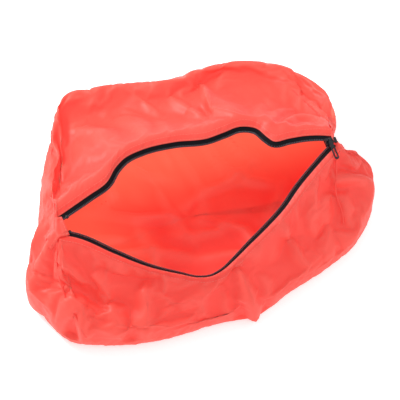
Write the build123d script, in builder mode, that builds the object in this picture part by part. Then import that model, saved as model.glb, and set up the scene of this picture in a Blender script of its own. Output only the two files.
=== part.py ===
from build123d import *
from math import asin, atan2, cos, degrees, hypot, radians, sin, sqrt
import os

# Slumped zipped sack, lying open on its flat underside.
# X runs along the zip, the slider end is +X; Y is across the sack, the near side is -Y; Z is up.
# The origin is the middle of the underside. All sizes are in millimetres.

# ---------------------------------------------------------------- whole sack
sack_length = 460.0  # along X, over the feet of the two end panels
sack_width = 360.0  # along Y
sack_height = 118.0  # to the crown of the top
side_radius = 32.0  # roll of the cloth from the underside up into the sides
side_arc_drop = 22.5  # degrees below level of the point that each side's arc is drawn through
end_lean = 35.0  # how far the top of each end panel stands in from its foot
wall = 1.2  # cloth wall

# ---------------------------------------------------------------- mouth, on the near half of the top
zip_y = -32.0  # line that the slider runs along
mouth_left_margin = 32.0  # from the left end of the mouth to the top of the left end panel
mouth_right_margin = 13.0
mouth_left_gap = 27.0  # distance between the two cloth edges at the left end
near_tip_x = -18.0
near_tip_drop = 116.0  # how far the near edge droops away from the slider's line
near_tip_radius = 14.0
far_rise = 62.0  # how far the far edge is drawn back from the slider's line
far_flat_left = -42.0
far_flat_right = 86.0
far_fall = 8.0  # how much lower the far edge is at its right corner than at its left
far_radius = 40.0

# ---------------------------------------------------------------- zip
tape_show = 7.0  # tape left showing between cloth edge and coil
tape_thickness = 0.7
tape_depth = 0.3  # tape lies this far under the outer face of the cloth
coil_width = 2.4
coil_rise = 0.7  # coil stands this far proud of the cloth
coil_thickness = 2.2
facing_width = 11.0  # seam allowance turned under along the mouth
facing_thickness = 0.8
lip_half_length = 16.0  # half of the middle span of each chain, which is drawn to the slider's line
lip_gap = 0.4  # clear of the still cloth and of the still spans
coil_gap = 0.1  # clear of the tape beside the coil
stop_length = 3.0
stop_width = 3.4
stop_thickness = 3.2
stop_corner = 0.75
tab_width = 25.0
tab_overlap = 5.0  # tab covers this much of the ends of the tape
tab_thickness = 1.0
tab_clear = 0.05  # between the tabs and the coil below them

# ---------------------------------------------------------------- seams
binding_height = 6.0
binding_thickness = 1.6

# ---------------------------------------------------------------- slider
slider_length = 10.0
slider_width = 9.4
slider_tail_width = 7.6
plate_thickness = 1.0
plate_corner = 1.0
channel_height = 3.2  # between the two plates
flange_thickness = 0.8
flange_height = 0.9
wedge_length = 3.6
wedge_width = 2.0  # at the open end of the slider
wedge_tip_width = 0.66
bridge_length = 8.0
bridge_width = 1.6
bridge_clear = 2.6  # from the upper plate to the underside of the bar
bar_radius = 0.8  # half the side of the square bar
slider_right_clear = 4.0  # from the slider at rest to the right end of the mouth
corridor_clear = 1.2  # still spans keep this far from the slider's flanks
tail_clear = 0.4

# ---------------------------------------------------------------- puller
puller_length = 27.0
puller_width = 5.2
puller_thickness = 1.6
puller_corner = 2.5
puller_slot_length = 13.0
puller_slot_width = 2.4
eye_radius = 2.0
eye_clear = 0.35
eye_length = 2.6
puller_droop = 6.0  # degrees below the chain's own plane at rest

# ---------------------------------------------------------------- derived
side_reach = sack_width / 2 - side_radius
crown_rise = sack_height - side_radius
top_radius = (side_reach**2 + crown_rise**2 - side_radius**2) / (2 * (crown_rise - side_radius))
top_centre_z = sack_height - top_radius
zip_z = top_centre_z + sqrt(top_radius**2 - zip_y**2)
zip_tilt = degrees(asin(-zip_y / top_radius))
lean_angle = degrees(atan2(end_lean, sack_height))
coil_inner = tape_show + coil_width
chain_depth = coil_thickness / 2 - coil_rise
mouth_left = end_lean + mouth_left_margin - sack_length / 2
mouth_right = sack_length / 2 - end_lean - mouth_right_margin
corridor_half = slider_width / 2 + corridor_clear
slider_x = mouth_right - slider_right_clear - slider_length / 2
tail_start = slider_x + slider_length / 2 + tail_clear
tail_right = sack_length / 2 - end_lean - tab_overlap
stop_offset = corridor_half + lip_gap + stop_width / 2
puller_pivot = channel_height / 2 + plate_thickness + bridge_clear + bar_radius
prism_floor = sack_height / 4  # cuts for the mouth start above the underside, at this height


def chain_plane(x):
    """Plane of the closed chain at x: its X is the sack's X, its Z stands square to the cloth."""
    down = radians(zip_tilt)
    origin = (x, zip_y + chain_depth * sin(down), zip_z - chain_depth * cos(down))
    return Plane(origin=origin, x_dir=(1, 0, 0), z_dir=(0, -sin(down), cos(down)))


def section(inset):
    """Cross section of the sack, drawn in by inset: flat below, rolled sides, one arc over the top."""
    r_side = side_radius - inset
    r_top = top_radius - inset
    reach = r_top * side_reach / (top_radius - side_radius)
    shoulder = top_centre_z + r_top * (side_radius - top_centre_z) / (top_radius - side_radius)
    down = radians(side_arc_drop)
    with BuildSketch(Plane.YZ) as profile:
        with BuildLine():
            Line((-side_reach, inset), (side_reach, inset))
            middle = (side_reach + r_side * cos(down), side_radius - r_side * sin(down))
            ThreePointArc((side_reach, inset), middle, (reach, shoulder))
            ThreePointArc((reach, shoulder), (0, sack_height - inset), (-reach, shoulder))
            mirrored = (-middle[0], middle[1])
            ThreePointArc((-reach, shoulder), mirrored, (-side_reach, inset))
        make_face()
    return profile.sketch


def end_plane(side, inset):
    """Leaning plane of an end panel, facing outward; side is +1 or -1."""
    lean = radians(lean_angle)
    normal = (side * cos(lean), 0, sin(lean))
    foot = (side * sack_length / 2 - side * inset * cos(lean), 0, -inset * sin(lean))
    return Plane(origin=foot, x_dir=(0, 1, 0), z_dir=normal)


def sack_form(inset, end_inset):
    """Solid of the sack's shape, its section drawn in by inset and its ends by end_inset."""
    with BuildPart() as form:
        extrude(section(inset), amount=sack_length / 2 + end_lean, both=True)
        for side in (-1, 1):
            split(bisect_by=end_plane(side, end_inset), keep=Keep.BOTTOM)
    return form.part


def mouth_outline(grow):
    """Lens of the mouth between the cloth edges, grown outward by grow; negative shrinks it."""
    half_gap = mouth_left_gap / 2
    with BuildSketch(Plane.XY.offset(prism_floor)) as lens:
        with BuildLine():
            points = [
                (mouth_left, zip_y + half_gap),
                (mouth_left, zip_y - half_gap),
                (near_tip_x, zip_y - near_tip_drop),
                (mouth_right, zip_y),
                (far_flat_right, zip_y + far_rise - far_fall),
                (far_flat_left, zip_y + far_rise),
            ]
            Polyline(*points, close=True)
        make_face()
        near_tip = lens.vertices().sort_by(Axis.Y)[0]
        far_tips = lens.vertices().sort_by(Axis.Y)[-2:]
        fillet(near_tip, radius=near_tip_radius)
        fillet(far_tips, radius=far_radius)
        if grow:
            offset(amount=grow, kind=Kind.INTERSECTION)
    return lens.sketch


def slider_outline(plane, inset=0.0, stretch=0.0):
    """Outline of the slider seen from above, its flanks drawn in by inset, its ends run on by stretch."""
    front_half = slider_width / 2 - inset
    rear_half = slider_tail_width / 2 - inset
    front_end = -slider_length / 2 - stretch
    rear_end = slider_length / 2 + stretch
    with BuildSketch(plane) as outline:
        Polygon(
            (front_end, front_half),
            (front_end, -front_half),
            (0, -front_half),
            (rear_end, -rear_half),
            (rear_end, rear_half),
            (0, front_half),
            align=None,
        )
        if not stretch:
            fillet(outline.vertices(), radius=plate_corner)
    return outline.sketch


def block(x_range, y_range, z_range):
    """Plain box between three pairs of limits."""
    with BuildPart() as cuboid:
        middle = [(low + high) / 2 for low, high in (x_range, y_range, z_range)]
        with Locations(tuple(middle)):
            Box(x_range[1] - x_range[0], y_range[1] - y_range[0], z_range[1] - z_range[0])
    return cuboid.part


def save(builder, name):
    """Label a finished piece and write its file."""
    builder.part.label = name
    export_step(builder.part, "parts/" + name + ".step")


os.makedirs("parts", exist_ok=True)

wide = sack_length + sack_width
outer = sack_form(0, 0)
inner = sack_form(wall, wall)
near_space = block((-wide, wide), (-wide, zip_y), (-wide, wide))
far_space = block((-wide, wide), (zip_y, wide), (-wide, wide))
under_space = block((-wide, wide), (-side_reach, side_reach), (-wide, prism_floor))
zip_slot = block(
    (slider_x - slider_length, tail_right + tail_clear),
    (zip_y - corridor_half, zip_y + corridor_half),
    (prism_floor, wide),
)
sides = {"near": near_space, "far": far_space}

# ---------------------------------------------------------------- cloth panels
for name, own_space in sides.items():
    with BuildPart() as panel:
        add(outer)
        for side in (-1, 1):
            split(bisect_by=end_plane(side, wall), keep=Keep.BOTTOM)
        add(inner, mode=Mode.SUBTRACT)
        add(under_space, mode=Mode.SUBTRACT)
        add(own_space, mode=Mode.INTERSECT)
        extrude(mouth_outline(0), amount=sack_height, mode=Mode.SUBTRACT)
        add(zip_slot, mode=Mode.SUBTRACT)
    save(panel, name + "_body_panel")

with BuildPart() as bottom_panel:
    add(outer)
    for side in (-1, 1):
        split(bisect_by=end_plane(side, wall), keep=Keep.BOTTOM)
    add(inner, mode=Mode.SUBTRACT)
    add(under_space, mode=Mode.INTERSECT)
save(bottom_panel, "bottom_panel")

for name, side in (("left", -1), ("right", 1)):
    with BuildPart() as end_panel:
        add(outer)
        split(bisect_by=end_plane(side, wall), keep=Keep.TOP)
    save(end_panel, name + "_end_panel")

# ---------------------------------------------------------------- bound seams, inside
for name, side in (("left", -1), ("right", 1)):
    with BuildPart() as end_binding:
        add(inner)
        split(bisect_by=end_plane(side, wall + binding_thickness), keep=Keep.TOP)
        add(sack_form(wall + binding_height, wall), mode=Mode.SUBTRACT)
    save(end_binding, name + "_end_binding")

for name, side in (("near", -1), ("far", 1)):
    with BuildPart() as floor_binding:
        strip = block(
            (-wide, wide),
            tuple(sorted((side * side_reach, side * (side_reach - binding_height)))),
            (wall, wall + binding_thickness),
        )
        add(sack_form(wall, wall + binding_thickness))
        add(strip, mode=Mode.INTERSECT)
    save(floor_binding, name + "_floor_binding")

# ---------------------------------------------------------------- facings turned under along the mouth
for name, own_space in sides.items():
    with BuildPart() as facing:
        add(sack_form(wall, wall + binding_thickness))
        add(sack_form(wall + facing_thickness, wall), mode=Mode.SUBTRACT)
        extrude(mouth_outline(facing_width), amount=sack_height, mode=Mode.INTERSECT)
        extrude(mouth_outline(0), amount=sack_height, mode=Mode.SUBTRACT)
        add(own_space, mode=Mode.INTERSECT)
        add(zip_slot, mode=Mode.SUBTRACT)
    save(facing, name + "_zip_facing")

# ---------------------------------------------------------------- stops on the two left ends of the zip
with BuildPart() as top_stops:
    for across in (-1, 1):
        with BuildSketch(chain_plane(mouth_left + tab_overlap + stop_length)) as stop_profile:
            with Locations((0, across * stop_offset)):
                RectangleRounded(stop_length, stop_width, stop_corner)
        extrude(stop_profile.sketch, amount=stop_thickness / 2, both=True)
save(top_stops, "top_stops")

# ---------------------------------------------------------------- zip chains: tapes and coils
corridor = block(
    (mouth_left - tab_width, slider_x + slider_length / 2 + tail_clear),
    (zip_y - corridor_half, zip_y + corridor_half),
    (prism_floor, sack_height + side_radius),
)
lip_left = near_tip_x - lip_half_length
lip_right = near_tip_x + lip_half_length
lip_zone = block((lip_left, lip_right), (-wide, wide), (-wide, wide))
gap_zone = block((lip_left - lip_gap, lip_right + lip_gap), (-wide, wide), (-wide, wide))
tail_zone = block((tail_start, wide), (-wide, wide), (-wide, wide))
strips = {
    "zip_tape": (tape_depth, tape_thickness, -lip_gap, -tape_show),
    "zip_coil": (-coil_rise, coil_thickness, -tape_show - coil_gap, -coil_inner),
}
for kind, (depth, thickness, outside, inside) in strips.items():
    with BuildPart() as ring:
        add(sack_form(depth, 0))
        add(sack_form(depth + thickness, -wall), mode=Mode.SUBTRACT)
        extrude(mouth_outline(outside), amount=sack_height, mode=Mode.INTERSECT)
        extrude(mouth_outline(inside), amount=sack_height, mode=Mode.SUBTRACT)
        add(corridor, mode=Mode.SUBTRACT)
        add(tail_zone, mode=Mode.SUBTRACT)
        add(top_stops, mode=Mode.SUBTRACT)
    for name, own_space in sides.items():
        with BuildPart() as middle_span:
            add(ring.part)
            add(own_space, mode=Mode.INTERSECT)
            add(lip_zone, mode=Mode.INTERSECT)
        save(middle_span, name + "_" + kind)
        with BuildPart() as end_spans:
            add(ring.part)
            add(own_space, mode=Mode.INTERSECT)
            add(gap_zone, mode=Mode.SUBTRACT)
        save(end_spans, name + "_" + kind + "_ends")

# ---------------------------------------------------------------- closed end of the chain, and tabs
tail_left = slider_x - slider_length / 2 + wedge_length + tail_clear
tail_plane = chain_plane((tail_left + tail_right) / 2)
with BuildPart() as closed_chain:
    with BuildSketch(tail_plane) as tail_profile:
        Rectangle(tail_right - tail_left, 2 * coil_width)
    extrude(tail_profile.sketch, amount=coil_thickness / 2, both=True)
save(closed_chain, "closed_chain_tail")

with BuildPart() as bottom_stop:
    with BuildSketch(chain_plane(tail_start + stop_length)) as stop_outline:
        RectangleRounded(stop_length, 2 * coil_width + stop_width, stop_corner)
    extrude(stop_outline.sketch, amount=stop_thickness / 2, both=True)
    add(closed_chain, mode=Mode.SUBTRACT)
save(bottom_stop, "bottom_stop")

tabs = {
    "left": (-sack_length / 2, mouth_left + tab_overlap),
    "right": (tail_start + 2 * stop_length, sack_length / 2),
}
for name, (start, end) in tabs.items():
    tab_space = block((start, end), (zip_y - tab_width / 2, zip_y + tab_width / 2), (prism_floor, wide))
    lift = tab_thickness + coil_rise + tab_clear
    with BuildPart() as zip_tab:
        add(sack_form(-lift, 0))
        add(sack_form(-lift + tab_thickness, -wall), mode=Mode.SUBTRACT)
        add(tab_space, mode=Mode.INTERSECT)
    save(zip_tab, name + "_zip_tab")

# ---------------------------------------------------------------- slider
slider_plane = chain_plane(slider_x)
front = -slider_length / 2
with BuildPart() as slider_body:
    for up in (-1, 1):
        extrude(slider_outline(slider_plane.offset(up * channel_height / 2)), amount=up * plate_thickness)
        flange_plane = slider_plane.offset(up * (channel_height / 2 - flange_height))
        extrude(slider_outline(flange_plane), amount=up * flange_height)
        hollow = slider_outline(flange_plane, flange_thickness, slider_length)
        extrude(hollow, amount=up * flange_height, mode=Mode.SUBTRACT)
    with BuildSketch(slider_plane) as wedge_profile:
        Polygon(
            (front, wedge_width / 2),
            (front, -wedge_width / 2),
            (front + wedge_length, -wedge_tip_width / 2),
            (front + wedge_length, wedge_tip_width / 2),
            align=None,
        )
    extrude(wedge_profile.sketch, amount=channel_height / 2, both=True)
save(slider_body, "slider_body")

with BuildPart() as bridge:
    side_plane = Plane(origin=slider_plane.origin, x_dir=(1, 0, 0), z_dir=-slider_plane.y_dir)
    top = puller_pivot + bar_radius
    foot = channel_height / 2 + plate_thickness
    with BuildSketch(side_plane) as arch:
        with Locations((0, (top + foot) / 2)):
            Rectangle(bridge_length, top - foot)
        fillet(arch.vertices().sort_by(Axis.Z)[-2:], radius=bridge_width)
        with Locations((0, (foot + foot + bridge_clear) / 2)):
            Rectangle(bridge_length - 2 * bridge_width, bridge_clear, mode=Mode.SUBTRACT)
    extrude(arch.sketch, amount=bar_radius, both=True)
save(bridge, "slider_bridge")

# ---------------------------------------------------------------- puller, hanging to the near side
droop = radians(zip_tilt + puller_droop)
pivot = slider_plane.origin + slider_plane.z_dir * puller_pivot
along = Vector(0, -cos(droop), -sin(droop))
face_plane = Plane(origin=pivot, x_dir=along, z_dir=Vector(0, -sin(droop), cos(droop)))
edge_plane = Plane(origin=pivot, x_dir=along, z_dir=(1, 0, 0))
bar_half_diagonal = hypot(bar_radius, bar_radius)
eye_hole = bar_half_diagonal + eye_clear
with BuildPart() as puller:
    with BuildSketch(face_plane) as tab_outline:
        with Locations(((eye_hole + puller_length) / 2, 0)):
            RectangleRounded(puller_length - eye_hole, puller_width, puller_corner)
        with Locations((puller_length - puller_width / 2 - puller_slot_length / 2, 0)):
            SlotOverall(puller_slot_length, puller_slot_width, mode=Mode.SUBTRACT)
    extrude(tab_outline.sketch, amount=puller_thickness / 2, both=True)
    with BuildSketch(edge_plane) as eye_outline:
        Circle(eye_radius)
    extrude(eye_outline.sketch, amount=eye_length / 2, both=True)
    with BuildSketch(edge_plane) as hole_outline:
        Circle(eye_hole)
    extrude(hole_outline.sketch, amount=puller_width, both=True, mode=Mode.SUBTRACT)
save(puller, "puller")
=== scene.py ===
import bpy
import math
import numpy as np
from bpy.props import FloatProperty, FloatVectorProperty, IntProperty, PointerProperty
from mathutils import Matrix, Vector


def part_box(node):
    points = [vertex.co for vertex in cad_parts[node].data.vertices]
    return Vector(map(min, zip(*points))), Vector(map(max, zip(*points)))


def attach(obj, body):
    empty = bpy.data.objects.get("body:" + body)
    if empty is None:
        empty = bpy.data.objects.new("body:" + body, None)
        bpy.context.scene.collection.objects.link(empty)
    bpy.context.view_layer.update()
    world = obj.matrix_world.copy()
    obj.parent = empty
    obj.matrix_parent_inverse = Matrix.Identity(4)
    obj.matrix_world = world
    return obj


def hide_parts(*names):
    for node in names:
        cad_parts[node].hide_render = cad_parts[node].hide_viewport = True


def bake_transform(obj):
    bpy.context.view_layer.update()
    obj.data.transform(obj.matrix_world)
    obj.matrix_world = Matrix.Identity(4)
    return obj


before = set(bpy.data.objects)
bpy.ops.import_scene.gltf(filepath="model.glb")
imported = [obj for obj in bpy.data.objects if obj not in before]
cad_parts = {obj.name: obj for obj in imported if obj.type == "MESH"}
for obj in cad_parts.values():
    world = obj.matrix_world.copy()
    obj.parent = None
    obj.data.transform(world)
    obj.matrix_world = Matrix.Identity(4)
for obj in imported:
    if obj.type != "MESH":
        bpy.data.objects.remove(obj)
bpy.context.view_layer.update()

bl_info = {
    "name": "Zipped stuff sack",
    "version": (1, 0, 0),
    "blender": (4, 5, 0),
    "location": "3D View > Sidebar > Sack",
    "description": "Slumped open sack of coated cloth with a coil zip, around its packed frame",
    "category": "Object",
}

MM = 0.001


# ------------------------------------------------------------------ settings a user would change

class SackSizes(bpy.types.PropertyGroup):
    """Sizes of the cloth work, in metres."""

    hem_width: FloatProperty(name="Hem width", description="Cloth turned under along the mouth",
                             default=0.0095, unit="LENGTH")
    tape_width: FloatProperty(name="Tape width", description="Zip tape seen between cloth edge and coil",
                              default=0.0058, unit="LENGTH")
    tape_thickness: FloatProperty(name="Tape thickness", description="Woven zip tape",
                                  default=0.0005, unit="LENGTH")
    coil_width: FloatProperty(name="Coil width", description="Across one half of the coil",
                              default=0.0026, unit="LENGTH")
    tooth_pitch: FloatProperty(name="Tooth pitch", description="From one tooth to the next",
                               default=0.0021, unit="LENGTH")
    stitch_length: FloatProperty(name="Stitch length", description="One stitch of the topstitching",
                                 default=0.0024, unit="LENGTH")
    stitch_gap: FloatProperty(name="Stitch gap", description="Between two stitches",
                              default=0.0011, unit="LENGTH")
    thread_radius: FloatProperty(name="Thread radius", description="Sewing thread",
                                 default=0.00024, unit="LENGTH")
    excess: FloatProperty(name="Spare cloth", description="Share by which the cloth is longer than its form",
                          default=0.032, subtype="FACTOR")
    settle_frames: IntProperty(name="Settling frames", description="Steps of the cloth's settling",
                               default=16)


class SackColours(bpy.types.PropertyGroup):
    """Colours of the cloth, zip and fittings."""

    cloth: FloatVectorProperty(name="Cloth", description="Coated nylon", subtype="COLOR", size=3,
                               default=(0.97, 0.150, 0.105))
    # painted shade colour: laid on the cloth where two layers lie together along the mouth, and in the
    # creases of the folds
    cloth_painted_shade: FloatVectorProperty(name="Cloth, doubled", description="Where two layers lie together",
                                    subtype="COLOR", size=3, default=(0.92, 0.075, 0.050))
    tape: FloatVectorProperty(name="Tape", description="Woven zip tape", subtype="COLOR", size=3,
                              default=(0.0035, 0.003, 0.0045))
    coil: FloatVectorProperty(name="Coil", description="Nylon coil", subtype="COLOR", size=3,
                              default=(0.050, 0.047, 0.056))
    metal: FloatVectorProperty(name="Slider", description="Enamel on the slider and puller",
                               subtype="COLOR", size=3, default=(0.010, 0.009, 0.013))


# ------------------------------------------------------------------ curves and grids

def hermite(knots, points, at):
    """Smooth line through the points: cubic Hermite spans with central-difference slopes at the knots."""
    knots = np.asarray(knots, float)
    points = np.asarray(points, float)
    slope = np.gradient(points, knots, axis=0)
    index = np.clip(np.searchsorted(knots, at, side="right") - 1, 0, len(knots) - 2)
    span = (knots[index + 1] - knots[index])[:, None]
    t = (np.asarray(at) - knots[index])[:, None] / span
    a, b = points[index], points[index + 1]
    return (
        (2 * t**3 - 3 * t**2 + 1) * a
        + (t**3 - 2 * t**2 + t) * span * slope[index]
        + (3 * t**2 - 2 * t**3) * b
        + (t**3 - t**2) * span * slope[index + 1]
    )


def closed_hermite(knots, points, at):
    """The same line closed on itself, with knots from 0 to 1 repeated on both sides."""
    knots = np.asarray(knots, float)
    around = np.concatenate([knots - 1, knots, knots + 1])
    return hermite(around, np.concatenate([points] * 3), np.mod(at, 1.0))


def distance_along(points):
    """Distance from the first point to each point of a line."""
    return np.concatenate([[0], np.cumsum(np.linalg.norm(np.diff(points, axis=0), axis=1))])


def evenly(points, count):
    """The line sampled again at count evenly spaced places."""
    gone = distance_along(points)
    at = np.linspace(0, gone[-1], count)
    return np.stack([np.interp(at, gone, points[:, axis]) for axis in range(3)], axis=1)


def unit(vectors):
    """Each vector scaled to length 1."""
    return vectors / np.maximum(np.linalg.norm(vectors, axis=-1, keepdims=True), 1e-12)


def directions(points):
    """Unit direction of a line at each of its points, from central differences."""
    return unit(np.gradient(points, axis=0))


def upright(points):
    """The upward unit vector, once for each point."""
    return np.zeros_like(points) + (0.0, 0.0, 1.0)


def down_columns(grid):
    """Distance from the first row to each point of a grid, measured down its column."""
    steps = np.linalg.norm(np.diff(grid, axis=0), axis=2)
    return np.concatenate([np.zeros((1, grid.shape[1])), np.cumsum(steps, axis=0)])


def grid_faces(rows, columns, closed):
    """Quads of a grid of rows by columns, the columns joined round when closed."""
    across = columns if closed else columns - 1
    r, c = np.meshgrid(np.arange(rows - 1), np.arange(across), indexing="ij")
    n = (c + 1) % columns
    quads = [r * columns + c, r * columns + n, (r + 1) * columns + n, (r + 1) * columns + c]
    return np.stack(quads, -1).reshape(-1, 4)


def surface_normals(grid, closed):
    """Unit normals of a grid of points from central differences along its two directions."""
    down = np.gradient(grid, axis=0)
    if closed:
        along = (np.roll(grid, -1, axis=1) - np.roll(grid, 1, axis=1)) / 2
    else:
        along = np.gradient(grid, axis=1)
    return unit(np.cross(along, down))


def make_mesh(name, points, faces):
    """Smooth-shaded mesh object from points in metres and faces, linked to the scene."""
    mesh = bpy.data.meshes.new(name)
    mesh.from_pydata(points.reshape(-1, 3).tolist(), [], [list(face) for face in faces])
    mesh.update()
    mesh.polygons.foreach_set("use_smooth", np.full(len(mesh.polygons), True))
    piece = bpy.data.objects.new(name, mesh)
    bpy.context.scene.collection.objects.link(piece)
    return piece


def coordinates(mesh):
    """Vertex positions of a mesh as an array."""
    flat = np.zeros(len(mesh.vertices) * 3, np.float32)
    mesh.vertices.foreach_get("co", flat)
    return flat.reshape(-1, 3).astype(float)


def point_attribute(mesh, name, values):
    """Stores one number for each vertex, for a material to read."""
    attribute = mesh.attributes.new(name, "FLOAT", "POINT")
    attribute.data.foreach_set("value", np.asarray(values, np.float32).ravel())


def swept(name, path, side, up, profile):
    """Closed bar: a profile of (side, up) pairs carried along the path, with its two ends capped."""
    rings = path[:, None] + side[:, None] * profile[None, :, :1] + up[:, None] * profile[None, :, 1:]
    rows, columns = rings.shape[:2]
    faces = [list(face) for face in grid_faces(rows, columns, True)]
    faces.append(list(range(columns))[::-1])
    faces.append([(rows - 1) * columns + k for k in range(columns)])
    return make_mesh(name, rings, faces)


def rounded_profile(width, height, count):
    """Superellipse outline of a flat strip: power 4, so the corners are soft and the faces flat."""
    turn = np.arange(count) / count * 2 * math.pi
    c, s = np.cos(turn), np.sin(turn)
    return np.stack([
        np.sign(c) * np.abs(c) ** 0.5 * width / 2,
        np.sign(s) * np.abs(s) ** 0.5 * height / 2,
    ], axis=1)


# where a bead's rings stand along it, as shares of its half length, and how wide each is
BEAD_SECTIONS = (-1.0, -0.75, 0.75, 1.0)
BEAD_WIDTHS = (0.45, 1.0, 1.0, 0.45)


def beads(name, centres, along, across, up, half, radius, ring_count=6):
    """Many short rounded bars at once. Each is a ring of points carried along to a blunt capsule: the
    ring has its full radius at the inner sections and 0.45 of it at the two ends."""
    count = len(centres)
    turn = np.arange(ring_count) / ring_count * 2 * math.pi
    widths = np.array(BEAD_WIDTHS)[None, :, None, None]
    offsets = (np.array(BEAD_SECTIONS) * half)[None, :, None, None]
    ring = (
        across[:, None, None] * (np.cos(turn)[None, None, :, None] * widths * radius[0])
        + up[:, None, None] * (np.sin(turn)[None, None, :, None] * widths * radius[1])
    )
    points = centres[:, None, None] + along[:, None, None] * offsets + ring
    body = grid_faces(len(BEAD_SECTIONS), ring_count, True)
    each = len(BEAD_SECTIONS) * ring_count
    shift = (np.arange(count) * each)[:, None, None]
    quads = (body[None] + shift).reshape(-1, 4).tolist()
    first = (np.arange(ring_count)[::-1][None] + shift[:, 0]).tolist()
    last = (np.arange(each - ring_count, each)[None] + shift[:, 0]).tolist()
    return make_mesh(name, points, quads + first + last)


# ------------------------------------------------------------------ shader maths

class Sock:
    """A node socket that adds Math nodes when it is used in an expression."""

    def __init__(self, tree, socket):
        self.tree = tree
        self.socket = socket

    def math(self, operation, other=None, swap=False, clamp=False):
        values = [self, other] if not swap else [other, self]
        inputs = {index: value for index, value in enumerate(values) if value is not None}
        return self.tree.node("ShaderNodeMath", {"operation": operation, "use_clamp": clamp}, inputs)

    def __add__(self, other):
        return self.math("ADD", other)

    def __sub__(self, other):
        return self.math("SUBTRACT", other)

    def __rsub__(self, other):
        return self.math("SUBTRACT", other, swap=True)

    def __mul__(self, other):
        return self.math("MULTIPLY", other)

    __radd__ = __add__
    __rmul__ = __mul__

    def clamp(self):
        return self.math("ADD", 0.0, clamp=True)


class Tree:
    """Node tree of one material, with one method that adds any node."""

    def __init__(self, name, roughness, specular):
        self.material = bpy.data.materials.new(name)
        self.material.use_nodes = True
        self.nodes = self.material.node_tree.nodes
        self.links = self.material.node_tree.links
        self.shader = self.nodes["Principled BSDF"]
        self.shader.inputs["Roughness"].default_value = roughness
        self.shader.inputs["Specular IOR Level"].default_value = specular

    def node(self, kind, settings=None, inputs=None, output=0):
        made = self.nodes.new(kind)
        for key, value in (settings or {}).items():
            setattr(made, key, value)
        for key, value in (inputs or {}).items():
            if isinstance(value, Sock):
                self.links.new(value.socket, made.inputs[key])
            else:
                made.inputs[key].default_value = value
        return Sock(self, made.outputs[output])

    def place(self, output="Object"):
        return self.node("ShaderNodeTexCoord", output=output)

    def noise(self, scale, detail=2.0, rough=0.5):
        inputs = {"Vector": self.place(), "Scale": scale, "Detail": detail, "Roughness": rough}
        return self.node("ShaderNodeTexNoise", {}, inputs)

    def blend(self, factor, first, second):
        def solid(value):
            return value if isinstance(value, Sock) else (*value, 1.0)
        settings = {"data_type": "RGBA", "clamp_factor": True}
        inputs = {0: factor, 6: solid(first), 7: solid(second)}
        return self.node("ShaderNodeMix", settings, inputs, output=2)

    def feed(self, key, value):
        self.links.new(value.socket, self.shader.inputs[key])

    def bump(self, height, strength, distance, normal=None):
        inputs = {"Height": height, "Strength": strength, "Distance": distance}
        if normal is not None:
            inputs["Normal"] = normal
        return self.node("ShaderNodeBump", {}, inputs)


def cloth_material(colours):
    """Coated nylon: fine plain weave, crumple facets, painted shade on the doubled hem, painted shade in the
    creases and a painted highlight on the ridges, slight sheen, light passing through, and a painted
    emission glow."""
    tree = Tree("coated_nylon", 0.42, 0.5)
    hem = tree.node("ShaderNodeAttribute", {"attribute_name": "hem"}, output=2)
    tone = tree.noise(9.0, 3.0, 0.55)
    fine = tree.noise(120.0, 3.0, 0.6)
    sway = tree.node("ShaderNodeTexNoise", {}, {"Vector": tree.place(), "Scale": 14.0}, output=1)
    sway = tree.node("ShaderNodeVectorMath", {"operation": "SCALE"}, {0: sway, "Scale": 0.035})
    swayed = tree.node("ShaderNodeVectorMath", {"operation": "ADD"}, {0: tree.place(), 1: sway})
    facets = tree.node("ShaderNodeTexVoronoi", {"feature": "F1"}, {"Vector": swayed, "Scale": 34.0})
    facets_fine = tree.node("ShaderNodeTexVoronoi", {"feature": "F1"}, {"Vector": swayed, "Scale": 95.0})
    darker = tuple(np.array(colours.cloth) * (0.97, 0.80, 0.78))
    paler = tuple(np.array(colours.cloth) * (1.02, 1.22, 1.25))
    body = tree.blend((tone - 0.35) * 1.6, darker, paler)
    body = tree.blend(fine * 0.35, body, tuple(colours.cloth))
    # painted shade in the creases and painted highlight on the ridges, from how far the cloth stands out of
    # its folds
    painted_fold_shade = tree.node("ShaderNodeAttribute", {"attribute_name": "relief"}, output=2)
    body = tree.blend((painted_fold_shade * -1.0).clamp() * 0.75, body, tuple(colours.cloth_painted_shade))
    painted_ridge_highlight = (1.0, 0.26, 0.20)
    body = tree.blend(painted_fold_shade.clamp() * 0.35, body, painted_ridge_highlight)
    # painted shade where the cloth lies doubled along the mouth and in the seams and tabs
    tree.feed("Base Color", tree.blend(hem * 0.85, body, tuple(colours.cloth_painted_shade)))
    tree.feed("Roughness", (fine * 0.16 + tone * 0.12 + 0.30).clamp())
    tree.shader.inputs["Sheen Weight"].default_value = 0.15
    tree.shader.inputs["Sheen Roughness"].default_value = 0.4
    across = {0: tree.place("UV")}
    warp, weft = [tree.node("ShaderNodeSeparateXYZ", {}, across, output=axis) for axis in (0, 1)]
    # painted light: the cloth glows by emission, faintly red on every face and brighter on the inner face,
    # standing for daylight through the cloth
    inside = tree.node("ShaderNodeAttribute", {"attribute_name": "inside"}, output=2)
    shaded, sunlit = (0.32, 0.022, 0.042), (0.92, 0.700, 0.400)
    tree.feed("Emission Color", tree.blend(inside * 0.8, shaded, sunlit))
    tree.shader.inputs["Emission Strength"].default_value = 0.28
    thread_pitch = 0.0007
    turns = 2 * math.pi / thread_pitch
    threads = (warp * turns).math("SINE") * (weft * turns).math("SINE")
    normal = tree.bump(threads, 0.12, 0.0002)
    normal = tree.bump(facets_fine, 0.10, 0.002, normal)
    normal = tree.bump(facets, 0.16, 0.008, normal)
    tree.feed("Normal", tree.bump(tree.noise(26.0), 0.25, 0.006, normal))
    through = tree.node("ShaderNodeBsdfTranslucent", {}, {"Color": (*colours.cloth, 1.0)})
    share_through = 0.42
    surface = Sock(tree, tree.shader.outputs[0])
    mixed = tree.node("ShaderNodeMixShader", {}, {0: share_through, 1: surface, 2: through})
    tree.links.new(mixed.socket, tree.nodes["Material Output"].inputs["Surface"])
    return tree.material


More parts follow.
